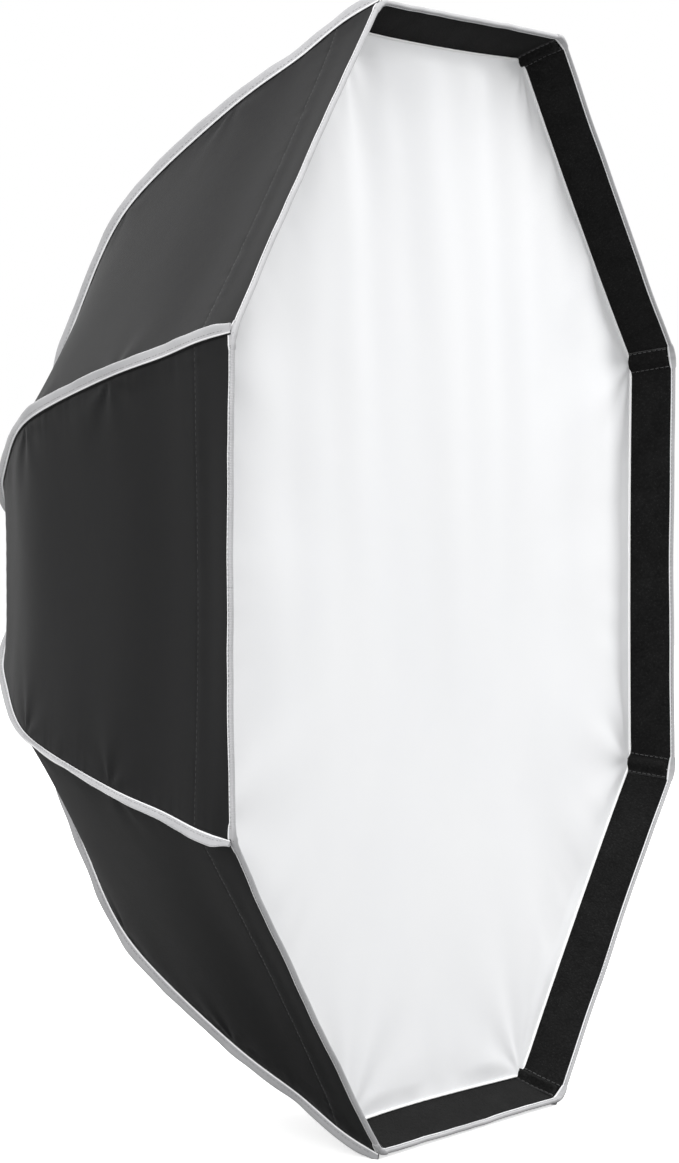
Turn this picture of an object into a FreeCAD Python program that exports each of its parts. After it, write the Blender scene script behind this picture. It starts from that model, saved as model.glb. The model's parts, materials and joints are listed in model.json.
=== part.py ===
import FreeCAD, Part
import math
import os

# Eight-sided folding softbox, 900 mm across the front rim's corners.  Millimetres.
# +Z is up and the light leaves along -Y.  The origin is the centre of the mount
# ring's rear seating face.  "Radius" is measured from the light axis and "depth"
# forward from the seating face, so y = -depth.  Repeated pieces are drawn in a
# local frame (x radial, y = -depth, z tangential) and turned into place.

Vector = FreeCAD.Vector
os.makedirs("parts", exist_ok=True)

# ------------------------------------------------------- shared dimensions
RIB_COUNT = 8
HALF_ANGLE = 180.0 / RIB_COUNT       # from a gore's centre line to a rib
# Seam line of the shell at a rib, from the hub to the rim: (radius, depth)
SEAM = [
    (96, 17), (110, 20.6), (124, 25), (142, 31.6), (160, 39),
    (178, 47.2), (197, 58), (216, 69.5), (234, 80.5), (250, 90.5),
    (265, 100.5), (293, 123), (322, 156), (340, 180), (357, 204),
    (374, 229), (390, 255), (410, 290), (434, 327), (450, 360),
]
PIVOT_RADIUS, PIVOT_DEPTH = 80.0, 20.5
PIN_R = 2.0
ARM_W = 10.0                         # rib socket's width
STRUT_T = 4.0
TRUNNION_R = 1.5
HUB_R, HUB_BORE_R = 86.0, 46.0
HUB_REAR, HUB_FRONT = 5.0, 32.0      # depths
POST_R, POST_RADIUS = 3.0, 60.0      # rod radius, distance from the axis
POST_COUNT, POST_ANGLE = 4, 45
STOP_DEPTH, STOP_T = 143.0, 4.0
SCREW_R, TAPPED_R, CLEARANCE_R = 1.5, 1.52, 1.55
HEAD_R, HEAD_T = 2.8, 1.8
RING_SCREW_RADIUS = 64.3             # mount ring screws' distance from the axis
BUTTON_W, BUTTON_REAR, BUTTON_FRONT = 16.0, 5.6, 10.8
BUTTON_DEPTH = (BUTTON_REAR + BUTTON_FRONT) / 2


# ----------------------------------------------------------------- helpers
def save(name, *shapes):
    solids = [solid for shape in shapes for solid in shape.Solids]
    out = solids[0] if len(solids) == 1 else Part.makeCompound(solids)
    assert solids and all(s.isValid() and s.Volume > 0 for s in solids), name
    out.exportStep("parts/%s.step" % name)


def turned(shape, degrees):
    """Copy turned round the light axis, from +X at 0 to +Z at 90 degrees."""
    copy = shape.copy()
    copy.rotate(Vector(0, 0, 0), Vector(0, 1, 0), -degrees)
    return copy


def polar(shape, count, first):
    return [turned(shape, first + 360.0 * k / count) for k in range(count)]


def at_ribs(shape):
    return polar(shape, RIB_COUNT, HALF_ANGLE)


def at_posts(shape):
    return polar(shape, POST_COUNT, POST_ANGLE)


def cut_all(shape, tools):
    for tool in tools:
        shape = shape.cut(tool)
    return shape


def local(radius, depth, z=0.0):
    return Vector(radius, -depth, z)


def forward_rod(rod_r, length, radius, depth):
    """Cylinder running forward from a point in the local frame."""
    return Part.makeCylinder(rod_r, length, local(radius, depth), Vector(0, -1, 0))


def radial_rod(rod_r, length, radius, depth):
    """Cylinder running outward from a point in the local frame."""
    return Part.makeCylinder(rod_r, length, local(radius, depth), Vector(1, 0, 0))


def cross_rod(rod_r, length, centre):
    """Tangential cylinder centred on a point."""
    base = centre - Vector(0, 0, length / 2)
    return Part.makeCylinder(rod_r, length, base, Vector(0, 0, 1))


def ring(inner_r, outer_r, rear, front):
    outer = forward_rod(outer_r, front - rear, 0, rear)
    return outer.cut(forward_rod(inner_r, front - rear + 2, 0, rear - 1))


def box(inner, outer, rear, front, width):
    """Box between two radii and two depths, centred on z = 0."""
    corner = local(inner, front, -width / 2)
    return Part.makeBox(outer - inner, front - rear, width, corner)


def polygon_face(points):
    return Part.Face(Part.makePolygon(points + points[:1]))


def prism(points, z0, z1):
    """Polygon in the local x, y plane made solid along z."""
    face = polygon_face([Vector(p.x, p.y, z0) for p in points])
    return face.extrude(Vector(0, 0, z1 - z0))


def slab(origin, along, out, along_span, out_span, width):
    """Rectangle spanned along two directions from an origin, centred on z = 0."""
    (a0, a1), (b0, b1) = along_span, out_span
    corners = [origin + along * a + out * b
               for a, b in ((a0, b0), (a1, b0), (a1, b1), (a0, b1))]
    return prism(corners, -width / 2, width / 2)


def screw(shank, head):
    return shank.fuse(head).removeSplitter()


def chamfer_edges(shape, size, keep):
    edges = [edge for edge in shape.Edges if keep(edge)]
    # The kernel can refuse a chamfer; the piece then stays sharp-edged.
    try:
        out = shape.makeChamfer(size, edges)
        return out if out.isValid() and out.Solids else shape
    except Exception:
        return shape


def mitres(points):
    """Shift of each point of an open x, y polyline for a unit mitred offset."""
    normals = []
    for start, end in zip(points, points[1:]):
        step = end - start
        normals.append(Vector(-step.y, step.x, 0) * (1.0 / step.Length))
    means = [(before + after) * 0.5
             for before, after in zip(normals[:1] + normals, normals + normals[-1:])]
    return [mean * (1.0 / mean.dot(mean)) for mean in means]


def offset_inward(points, distance):
    """Offset towards the axis and the front; distance is a function of x."""
    return [p - mitre * distance(p.x) for p, mitre in zip(points, mitres(points))]


def polyhedral_rod(path, rod_r, sides=10):
    """Mitred rod along a plane path; every face is flat."""
    angles = [2 * math.pi * (j + 0.5) / sides for j in range(sides)]
    sections = [[p + mitre * (rod_r * math.cos(t)) + Vector(0, 0, rod_r * math.sin(t))
                 for t in angles]
                for p, mitre in zip(path, mitres(path))]
    faces = []
    for near, far in zip(sections, sections[1:]):
        for j in range(sides):
            k = (j + 1) % sides
            faces.append(polygon_face([near[j], near[k], far[k], far[j]]))
    faces += [polygon_face(sections[0]), polygon_face(sections[-1])]
    solid = Part.Solid(Part.makeShell(faces))
    if solid.Volume < 0:
        solid.reverse()
    return solid


# -------------------------------------------------------- ribs and sockets
ARM_SLOPE = math.radians(16.5)       # from the hub plane
ARM_L, ARM_HALF_H = 56.0, 4.2
KNUCKLE_R = 5.0                      # round end of the socket at its pivot
EAR_ALONG, EAR_OUT = 45.0, 8.0       # strut pivot: along the socket, in front of its axis
EAR_HALF_L, EAR_R = 8.0, 4.2
EAR_SLOT_FLOOR = 3.6                 # in front of the socket's axis
PIN_PLAY = 0.05
ROD_R = 2.0                          # spring-steel rib rod
ROD_START = 30.0                     # rod's inner end, along the socket
ROD_FREE_RADIUS = 146                # rod follows the seam line beyond this radius
# Rod axis inside the seam line, changing evenly between two radii
INSET_INNER, INSET_OUTER = 7.6, 5.2
INSET_FROM, INSET_RUN = 130, 320.0
ROD_TIP_BACK = 14                    # rod's tip short of the seam line's end
CAP_R, CAP_L, CAP_END = 2.9, 16.0, 4.0   # moulded cap; CAP_END lies beyond the rod

PIVOT = local(PIVOT_RADIUS, PIVOT_DEPTH)
ALONG_ARM = Vector(math.cos(ARM_SLOPE), -math.sin(ARM_SLOPE), 0)
OUT_OF_ARM = Vector(-math.sin(ARM_SLOPE), -math.cos(ARM_SLOPE), 0)   # towards the front
EAR_PIVOT = PIVOT + ALONG_ARM * EAR_ALONG + OUT_OF_ARM * EAR_OUT


def rod_inset(radius):
    return INSET_INNER + (INSET_OUTER - INSET_INNER) * (radius - INSET_FROM) / INSET_RUN


def rib_path():
    """Points of the rod's axis, and the direction of its last stretch."""
    seam = [local(radius, depth) for radius, depth in SEAM]
    curve = [p for p in offset_inward(seam, rod_inset) if p.x > ROD_FREE_RADIUS]
    direction = (curve[-1] - curve[-2]).normalize()
    tip = curve[-1] - direction * ROD_TIP_BACK
    straight = [PIVOT + ALONG_ARM * s for s in (ROD_START, ARM_L + 1.0)]
    return straight + curve[:-1] + [tip], direction


def make_cap(tip, direction):
    base = tip - direction * (CAP_L - CAP_END)
    cap = Part.makeCylinder(CAP_R, CAP_L, base, direction)
    cap = chamfer_edges(cap, 0.7, lambda e: abs(e.Length - 2 * math.pi * CAP_R) < 0.1)
    return cap.cut(Part.makeCylinder(ROD_R + 0.06, CAP_L - CAP_END + 0.05, base, direction))


def arm_slab(along_span, out_span, width):
    return slab(PIVOT, ALONG_ARM, OUT_OF_ARM, along_span, out_span, width)


def make_socket(path):
    socket = arm_slab((0, ARM_L), (-ARM_HALF_H, ARM_HALF_H), ARM_W)
    socket = socket.fuse(cross_rod(KNUCKLE_R, ARM_W, PIVOT))
    ears = arm_slab((EAR_ALONG - EAR_HALF_L, EAR_ALONG + EAR_HALF_L),
                    (ARM_HALF_H - 1, EAR_OUT), ARM_W)
    ears = ears.fuse(cross_rod(EAR_R, ARM_W, EAR_PIVOT))
    socket = socket.fuse(ears).removeSplitter()
    # room for the strut between the ears
    socket = socket.cut(arm_slab((EAR_ALONG - EAR_HALF_L - 1, EAR_ALONG + EAR_HALF_L + 1),
                                 (EAR_SLOT_FLOOR, EAR_OUT + 6), STRUT_T + 0.7))
    socket = socket.cut(cross_rod(PIN_R + PIN_PLAY, ARM_W + 2, PIVOT))
    socket = socket.cut(cross_rod(TRUNNION_R + PIN_PLAY, ARM_W + 2, EAR_PIVOT))
    return socket.cut(polyhedral_rod(path, ROD_R + 0.05))


path, tip_direction = rib_path()
rods = at_ribs(polyhedral_rod(path, ROD_R))
caps = at_ribs(make_cap(path[-1], tip_direction))
for i, socket in enumerate(at_ribs(make_socket(path))):
    save("rib_%d" % (i + 1), rods[i], caps[i])
    save("rib_socket_%d" % (i + 1), socket)

# ------------------------------------------------------------------ struts
# A flat slotted link with a trunnion at each end: the outer one turns in the
# socket's ears, the inner one floats in a roomy seat in the runner.
STRUT_L, STRUT_HALF_H, STRUT_END_R = 70.0, 3.2, 3.8
STRUT_SLOT_HALF_L, STRUT_SLOT_HALF_H = 24, 1.1
SEAT_RADIUS = 64.0                   # runner trunnions' distance from the axis
RUNNER_DEPTH = -EAR_PIVOT.y + math.sqrt(STRUT_L ** 2 - (EAR_PIVOT.x - SEAT_RADIUS) ** 2)


def make_strut():
    inner_pivot = local(SEAT_RADIUS, RUNNER_DEPTH)
    along = (inner_pivot - EAR_PIVOT) * (1.0 / STRUT_L)
    out = Vector(-along.y, along.x, 0)
    strut = slab(EAR_PIVOT, along, out, (0, STRUT_L), (-STRUT_HALF_H, STRUT_HALF_H), STRUT_T)
    for pivot in (EAR_PIVOT, inner_pivot):
        strut = strut.fuse(cross_rod(STRUT_END_R, STRUT_T, pivot))
        strut = strut.fuse(cross_rod(TRUNNION_R, ARM_W, pivot))
    slot = slab((EAR_PIVOT + inner_pivot) * 0.5, along, out,
                (-STRUT_SLOT_HALF_L, STRUT_SLOT_HALF_L),
                (-STRUT_SLOT_HALF_H, STRUT_SLOT_HALF_H), STRUT_T + 2)
    return strut.removeSplitter().cut(slot)


for i, strut in enumerate(at_ribs(make_strut())):
    save("strut_%d" % (i + 1), strut)

# ------------------------------------------------------------------ runner
RUNNER_BORE_R, RUNNER_R, RUNNER_HALF_L = 52.0, 73.0, 8.0
SEAT_R, SEAT_W = TRUNNION_R + 4.1, ARM_W + 1.4
STRUT_SLOT_W = STRUT_T + 1.2
GRIP_W, GRIP_HALF_L = 16, 6
GRIP_OUTER = 86.0
# Rear half of a grip's outline: (radius, distance from the runner's mid-plane)
GRIP_OUTLINE = [(74.0, GRIP_HALF_L), (76.0, GRIP_HALF_L), (80.0, 3.4), (GRIP_OUTER, 4.6)]
GRIP_SCREW_L = 22.0


def runner_box(inner, outer, half_length, width):
    return box(inner, outer, RUNNER_DEPTH - half_length, RUNNER_DEPTH + half_length, width)


def make_runner():
    runner = ring(RUNNER_BORE_R, RUNNER_R,
                  RUNNER_DEPTH - RUNNER_HALF_L, RUNNER_DEPTH + RUNNER_HALF_L)
    seat = cross_rod(SEAT_R, SEAT_W, local(SEAT_RADIUS, RUNNER_DEPTH))
    seat = seat.fuse(runner_box(SEAT_RADIUS, SEAT_RADIUS + 20, 3.2, STRUT_SLOT_W))
    seat = seat.fuse(runner_box(SEAT_RADIUS - 8.4, 80, RUNNER_HALF_L + 1, STRUT_SLOT_W))
    runner = cut_all(runner, at_ribs(seat))
    post_hole = forward_rod(POST_R + 0.1, 30, POST_RADIUS, RUNNER_DEPTH - 15)
    runner = cut_all(runner, at_posts(post_hole))
    return cut_all(runner, polar(radial_rod(CLEARANCE_R, 12, 63.0, RUNNER_DEPTH), 2, 0))


def make_grip():
    """Finger grip on the runner's outer wall."""
    outline = [local(radius, RUNNER_DEPTH + side * half)
               for side, half_outline in ((1, GRIP_OUTLINE), (-1, GRIP_OUTLINE[::-1]))
               for radius, half in half_outline]
    grip = prism(outline, -GRIP_W / 2, GRIP_W / 2)
    grip = grip.fuse(runner_box(72.0, 74.5, GRIP_HALF_L, GRIP_W)).removeSplitter()
    grip = grip.cut(forward_rod(RUNNER_R + 0.05, 40, 0, RUNNER_DEPTH - 20))
    return grip.cut(radial_rod(CLEARANCE_R, 30, 66.0, RUNNER_DEPTH))


save("runner_ring", make_runner())
save("runner_grips", *polar(make_grip(), 2, 0))
grip_screw = screw(
    radial_rod(SCREW_R, GRIP_SCREW_L, GRIP_OUTER - GRIP_SCREW_L, RUNNER_DEPTH),
    radial_rod(HEAD_R, HEAD_T, GRIP_OUTER, RUNNER_DEPTH))
save("grip_screws", *polar(grip_screw, 2, 0))

# --------------------------------------------------------------------- hub
HUB_REAR_R, HUB_STEP_DEPTH = 73.0, 11.0   # slimmer rear end of the hub
PLATE_FRONT = HUB_FRONT + 3.0
HUB_SCREW_RADIUS, HUB_SCREW_L = 56.0, 10
POST_REAR = 21
STOP_SCREW_R = 1.25

socket_slots = at_ribs(box(PIVOT_RADIUS - 6.6, 92, PIVOT_DEPTH - 7.4, 40, ARM_W + 1))
hub_post_holes = at_posts(forward_rod(POST_R + 0.02, 20, POST_RADIUS, 20))
hub_screw_holes = at_ribs(forward_rod(TAPPED_R, 14, HUB_SCREW_RADIUS, 24))


def make_hub():
    hub = ring(HUB_BORE_R, HUB_REAR_R, HUB_REAR, HUB_STEP_DEPTH + 1)
    hub = hub.fuse(ring(HUB_BORE_R, HUB_R, HUB_STEP_DEPTH, HUB_FRONT)).removeSplitter()
    hub = cut_all(hub, socket_slots)
    hub = cut_all(hub, at_ribs(cross_rod(PIN_R + 0.02, 24, PIVOT)))
    hub = cut_all(hub, hub_post_holes + hub_screw_holes)
    button_cavity = box(60.0, 90, BUTTON_REAR - 0.2, BUTTON_FRONT + 0.2, BUTTON_W + 0.4)
    hub = cut_all(hub, polar(button_cavity, 2, 90))
    return cut_all(hub, at_posts(forward_rod(TAPPED_R, 13, RING_SCREW_RADIUS, 2.2)))


def make_stop():
    stop = ring(53.0, 68.0, STOP_DEPTH, STOP_DEPTH + STOP_T)
    holes = at_posts(forward_rod(CLEARANCE_R, STOP_T + 2, POST_RADIUS, STOP_DEPTH - 1))
    # only the four rim circles are this long
    return chamfer_edges(cut_all(stop, holes), 0.8, lambda e: e.Length > 300)


save("hub_body", make_hub())
save("hub_front_plate", cut_all(ring(HUB_BORE_R + 1, HUB_R, HUB_FRONT, PLATE_FRONT),
                                socket_slots + hub_post_holes + hub_screw_holes))
save("rib_pivot_pins", *at_ribs(cross_rod(PIN_R, 22, PIVOT)))
hub_screw = screw(
    forward_rod(SCREW_R, HUB_SCREW_L, HUB_SCREW_RADIUS, PLATE_FRONT - HUB_SCREW_L),
    forward_rod(HEAD_R, HEAD_T, HUB_SCREW_RADIUS, PLATE_FRONT))
save("hub_screws", *at_ribs(hub_screw))
post = forward_rod(POST_R, STOP_DEPTH - POST_REAR, POST_RADIUS, POST_REAR)
post = post.cut(forward_rod(STOP_SCREW_R + 0.02, 9, POST_RADIUS, STOP_DEPTH - 8))
save("guide_posts", *at_posts(post))
save("stop_ring", make_stop())
stop_screw = screw(forward_rod(STOP_SCREW_R, STOP_T + 7, POST_RADIUS, STOP_DEPTH - 7),
                   forward_rod(2.6, 1.7, POST_RADIUS, STOP_DEPTH + STOP_T))
save("stop_screws", *at_posts(stop_screw))

# ----------------------------------------- release buttons and their springs
BUTTON_INNER, BUTTON_OUTER = 70.0, 80.0
SPRING_TURNS, SPRING_L, SPRING_R, WIRE_R = 5, 12.2, 1.9, 0.35
SPRING_INNER = 60.42


def make_button():
    button = box(BUTTON_INNER, BUTTON_OUTER, BUTTON_REAR, BUTTON_FRONT, BUTTON_W)
    button = chamfer_edges(
        button, 1.5, lambda e: all(abs(p.X - BUTTON_OUTER) < 0.01 for p in e.Vertexes))
    return button.cut(radial_rod(2.7, 3.0, BUTTON_INNER, BUTTON_DEPTH))


def make_spring():
    helix = Part.makeHelix(SPRING_L / SPRING_TURNS, SPRING_L, SPRING_R)
    circle = Part.Circle(Vector(SPRING_R, 0, 0), Vector(0, 1, 0), WIRE_R)
    spring = Part.Wire(helix).makePipeShell([Part.Wire(circle.toShape())], True, True)
    spring.rotate(Vector(0, 0, 0), Vector(0, 1, 0), 90)
    spring.translate(local(SPRING_INNER, BUTTON_DEPTH))
    return spring


for side, button in zip(("top", "bottom"), polar(make_button(), 2, 90)):
    save("release_button_%s" % side, button)
save("button_springs", *polar(make_spring(), 2, 90))

# -------------------------------------------------------------- mount ring
BORE_R, RING_R = 41.0, 68.0
LAND_INNER_R, LAND_OUTER_R = 53.0, 60.0   # seating face
SPIGOT_R, SPIGOT_L = 46.0, 6.0
LUG_R, LUG_L = 49.5, 3.0
LUG_COUNT, LUG_SWEEP, LUG_START = 3, 34, 13   # angles in degrees


def make_mount_ring():
    mount = ring(BORE_R, RING_R, 0.0, HUB_REAR)
    mount = mount.cut(ring(LAND_OUTER_R, RING_R + 1, -1, 2.4))
    mount = mount.cut(ring(BORE_R - 1, LAND_INNER_R, -1, 1.4))
    mount = mount.fuse(ring(BORE_R, SPIGOT_R, -SPIGOT_L, 2.0))
    lug_ring = ring(SPIGOT_R - 1, LUG_R, -SPIGOT_L, -SPIGOT_L + LUG_L)
    wedge = Part.makeCylinder(60, 9, local(0, -10), Vector(0, -1, 0), LUG_SWEEP)
    for k in range(LUG_COUNT):
        sector = turned(wedge, -LUG_START - 360 / LUG_COUNT * k)
        mount = mount.fuse(lug_ring.common(sector))
    mount = mount.removeSplitter()
    return cut_all(mount, at_posts(forward_rod(CLEARANCE_R, 12, RING_SCREW_RADIUS, -4)))


save("mount_ring", make_mount_ring())
adapter_screw = screw(forward_rod(SCREW_R, 11.4, RING_SCREW_RADIUS, 2.3),
                      forward_rod(2.6, 1.7, RING_SCREW_RADIUS, 0.7))
save("adapter_screws", *at_posts(adapter_screw))

# -------------------------------------------------------------- soft parts
CLOTH_T = 1.2                        # shell cloth with its lining
SEAM_GAP = 0.6                       # half gap between neighbouring cloth solids
DIFFUSER_DEPTH, DIFFUSER_R, DIFFUSER_T = 327.0, 416.0, 2.0
BAFFLE_DEPTH, BAFFLE_R, BAFFLE_T = 152.0, 235.0, 1.5


def make_half_gore():
    """Half of a gore, on the +z side of the gore's centre line."""
    half = math.radians(HALF_ANGLE)
    crest = [local(radius * math.cos(half), depth) for radius, depth in SEAM]
    lining = offset_inward(crest, lambda radius: CLOTH_T)
    strip = prism(crest + lining[::-1], SEAM_GAP, 200.0)
    near, far, rear = 10, 500, 5
    edge_gap = SEAM_GAP / math.cos(half)
    sector = polygon_face([
        Vector(near, rear, SEAM_GAP),
        Vector(far, rear, SEAM_GAP),
        Vector(far, rear, far * math.tan(half) - edge_gap),
        Vector(near, rear, near * math.tan(half) - edge_gap)])
    return strip.common(sector.extrude(Vector(0, -400, 0)))


def octagon(corner_r, rear, front):
    corner = local(corner_r, rear)
    angles = [math.radians(HALF_ANGLE + 360.0 * j / RIB_COUNT) for j in range(RIB_COUNT)]
    points = [Vector(corner_r * math.cos(t), corner.y, corner_r * math.sin(t))
              for t in angles]
    return polygon_face(points).extrude(Vector(0, rear - front, 0))


def sheet(corner_r, depth, thickness):
    return octagon(corner_r, depth - thickness / 2, depth + thickness / 2)


# each gore folds along its centre line, between halves a and b
half_b = make_half_gore()
half_a = half_b.mirror(Vector(0, 0, 0), Vector(0, 0, 1))
for letter, half_gore in (("a", half_a), ("b", half_b)):
    for i, panel in enumerate(polar(half_gore, RIB_COUNT, 360.0 / RIB_COUNT)):
        save("panel_%d%s" % (i + 1, letter), panel)

save("front_diffuser", sheet(DIFFUSER_R, DIFFUSER_DEPTH, DIFFUSER_T))
save("inner_diffuser", sheet(BAFFLE_R, BAFFLE_DEPTH, BAFFLE_T))
save("neck_skirt", octagon(96.5, 13.0, 15.8).cut(forward_rod(HUB_R + 0.3, 10, 0, 10)))
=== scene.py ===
"""Eight-sided folding softbox: cloth gores on eight ribs, with a front and an inner diffuser.

Metres, +Z up. The light axis is Y; the box opens towards -Y, and depth is the distance in
front of the seating face (y = -depth). A turn is an angle in degrees round the axis, from
+X towards +Z. Rib k lies at 45 k - 22.5 degrees and gore k is centred at 45 k degrees.
On a gore, run is the length along the rib seam from the hub end, and across goes from -1
at one seam (side a) through 0 on the centre fold to 1 at the other seam (side b).
"""
import functools
import json
import math

import bpy
import numpy as np
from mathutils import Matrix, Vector

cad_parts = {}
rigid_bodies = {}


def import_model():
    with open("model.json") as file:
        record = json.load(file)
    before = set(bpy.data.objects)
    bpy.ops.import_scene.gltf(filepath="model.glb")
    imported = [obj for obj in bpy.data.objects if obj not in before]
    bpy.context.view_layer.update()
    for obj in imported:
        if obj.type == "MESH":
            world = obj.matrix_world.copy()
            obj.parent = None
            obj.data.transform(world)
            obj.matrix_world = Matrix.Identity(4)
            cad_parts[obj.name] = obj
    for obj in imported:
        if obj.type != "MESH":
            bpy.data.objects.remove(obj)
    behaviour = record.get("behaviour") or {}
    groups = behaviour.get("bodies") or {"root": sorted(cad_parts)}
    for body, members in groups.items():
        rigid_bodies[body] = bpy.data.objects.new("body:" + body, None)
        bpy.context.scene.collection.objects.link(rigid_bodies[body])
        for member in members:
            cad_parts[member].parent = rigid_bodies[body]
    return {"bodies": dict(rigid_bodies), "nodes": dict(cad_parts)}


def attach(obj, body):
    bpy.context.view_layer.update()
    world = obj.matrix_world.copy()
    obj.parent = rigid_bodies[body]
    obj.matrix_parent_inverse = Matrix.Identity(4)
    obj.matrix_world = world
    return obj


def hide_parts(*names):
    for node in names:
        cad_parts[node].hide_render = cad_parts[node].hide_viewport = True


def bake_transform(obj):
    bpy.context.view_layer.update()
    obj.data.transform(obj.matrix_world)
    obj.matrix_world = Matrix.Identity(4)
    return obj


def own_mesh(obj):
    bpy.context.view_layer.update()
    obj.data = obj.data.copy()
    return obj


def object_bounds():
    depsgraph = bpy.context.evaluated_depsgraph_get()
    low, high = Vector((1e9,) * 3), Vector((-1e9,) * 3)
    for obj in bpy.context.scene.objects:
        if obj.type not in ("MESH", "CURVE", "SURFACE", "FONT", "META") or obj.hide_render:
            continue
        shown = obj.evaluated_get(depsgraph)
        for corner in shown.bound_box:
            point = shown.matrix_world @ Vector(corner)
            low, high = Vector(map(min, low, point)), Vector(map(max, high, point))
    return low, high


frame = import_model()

kept = set(frame["nodes"].values()) | set(frame["bodies"].values())
for stray in [o for o in bpy.data.objects if o not in kept]:
    bpy.data.objects.remove(stray)
CAD_BOX = [list(p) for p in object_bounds()]

# ------------------------------------------------------------ driving sizes
HALF_ANGLE = math.radians(22.5)         # from a rib to the centre line of a gore
COS, SIN, TAN = math.cos(HALF_ANGLE), math.sin(HALF_ANGLE), math.tan(HALF_ANGLE)

# Rib seam from hub to rim: radius from the axis, depth (mm, turned into metres).
SEAM = np.array([
    (96, 17), (110, 20.6), (124, 25), (142, 31.6), (160, 39), (178, 47.2), (197, 58),
    (216, 69.5), (234, 80.5), (250, 90.5), (265, 100.5), (293, 123), (322, 156),
    (340, 180), (357, 204), (374, 229), (390, 255), (410, 290), (434, 327), (450, 360),
], float) / 1000.0
RIM_RADIUS, RIM_DEPTH = SEAM[-1]
RIM_HALF_SIDE = RIM_RADIUS * SIN

DIFFUSER_DEPTH = 0.327
STITCH_DEPTH = RIM_DEPTH - 0.0385       # stitch line at the rear edge of the loop band
UPPER_TIE_DEPTH, LOWER_TIE_DEPTH = 0.229, 0.123     # where creases fan out from the seams

INNER_RADIUS, INNER_DEPTH = 0.234, 0.152            # inner diffuser
CLOTH_SHEET = 0.0006                    # thickness of diffusers and loop band
CENTRE_SHARE = 0.45                     # part of the front sheet that rides on the runner

POCKET_HALF_WIDTH = 0.0094
POCKET_FLAT = 0.86                      # share of that half width where the bulge ends
CORNER_START = 0.945                    # where the rim tape goes under the corner wrap

SIGN = {"a": -1, "b": 1}
HALF_GORES = [(gore, side, 45.0 * gore) for gore in range(1, 9) for side in "ab"]
RIBS = [(rib, 22.5 + 45 * (rib - 1)) for rib in range(1, 9)]
ROLL = np.radians(np.arange(0, 360, 45.0))          # angles round a thin round tube


# ------------------------------------------------------------- calculations
def steps(full):
    return full


def stack(*parts):
    return np.stack(np.broadcast_arrays(*parts), -1)


def unit(vectors):
    return vectors / np.maximum(np.linalg.norm(vectors, axis=-1, keepdims=True), 1e-12)


def arc_lengths(points):
    """Length from the first point to each point of a polyline."""
    return np.concatenate([[0], np.cumsum(np.linalg.norm(np.diff(points, axis=0), axis=1))])


def smooth(value, start, end):
    share = np.clip((np.asarray(value, float) - start) / (end - start), 0, 1)
    return share * share * (3 - 2 * share)


def bell(offset, width):
    return np.exp(-(offset / width) ** 2)


def world(x, depth, z, turn):
    """Point from its distance x along the turn, its depth, and z square to both."""
    cos, sin = math.cos(math.radians(turn)), math.sin(math.radians(turn))
    return stack(x * cos - z * sin, -depth, x * sin + z * cos)


class Spline:
    """Natural cubic through points, by chord length."""

    def __init__(self, points):
        self.points = np.asarray(points, float)
        self.knots = arc_lengths(self.points)
        self.length = self.knots[-1]
        count, gap = len(self.knots), np.diff(self.knots)
        slopes = np.diff(self.points, axis=0) / gap[:, None]
        system = np.eye(count)
        target = np.zeros((count, self.points.shape[1]))
        for i in range(1, count - 1):
            system[i, i - 1:i + 2] = gap[i - 1], 2 * (gap[i - 1] + gap[i]), gap[i]
            target[i] = 6 * (slopes[i] - slopes[i - 1])
        self.bends = np.linalg.solve(system, target)

    def __call__(self, at, order=0):
        """Points (order 0) or first derivatives (order 1)."""
        at = np.asarray(at, float)
        i = np.clip(np.searchsorted(self.knots, at, "right") - 1, 0, len(self.knots) - 2)
        gap = (self.knots[i + 1] - self.knots[i])[..., None]
        left = (self.knots[i + 1] - at)[..., None] / gap
        right = (at - self.knots[i])[..., None] / gap
        start, end = self.points[i], self.points[i + 1]
        bend_start, bend_end = self.bends[i], self.bends[i + 1]
        if order == 0:
            bend = (left ** 3 - left) * bend_start + (right ** 3 - right) * bend_end
            return left * start + right * end + bend * gap * gap / 6
        bend = (1 - 3 * left * left) * bend_start + (3 * right * right - 1) * bend_end
        return (end - start) / gap + bend * gap / 6


seam = Spline(SEAM)
SEAM_LENGTH = seam.length


def run_at(depth):
    runs = np.linspace(0, SEAM_LENGTH, 4001)
    return float(np.interp(depth, seam(runs)[:, 1], runs))


STITCH_RUN = run_at(STITCH_DEPTH)
DIFFUSER_RUN = run_at(DIFFUSER_DEPTH)
TIES = ((run_at(UPPER_TIE_DEPTH), 0.0007), (run_at(LOWER_TIE_DEPTH), 0.0008))  # run, height


def profile(run):
    """Seam (radius, depth) and its unit direction, going straight on beyond each end."""
    run = np.asarray(run, float)
    inside = np.clip(run, 0, SEAM_LENGTH)
    direction = unit(seam(inside, 1))
    return seam(inside) + direction * (run - inside)[..., None], direction


@functools.lru_cache(maxsize=None)
def waves(seed, low, high, count):
    """Wave vectors, phases and heights of a seeded sum of sines."""
    random = np.random.RandomState(seed)
    vectors = random.normal(size=(count, 3))
    vectors /= np.linalg.norm(vectors, axis=1)[:, None]
    pitch = np.exp(random.uniform(math.log(low), math.log(high), count))
    phases = random.uniform(0, 2 * math.pi, count)
    return vectors * pitch[:, None] * 2 * math.pi, phases, 1 / np.sqrt(pitch / low)


def wobble(points, seed, low, high, count):
    """Smooth seeded noise of roughly unit size; low and high are cycles per metre."""
    vectors, phases, heights = waves(seed, low, high, count)
    points = np.asarray(points, float)
    total = (np.sin(points.reshape(-1, 3) @ vectors.T + phases) * heights).sum(1)
    total = total / math.sqrt((heights ** 2).sum() / 2) * 0.5
    return total.reshape(points.shape[:-1])


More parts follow.
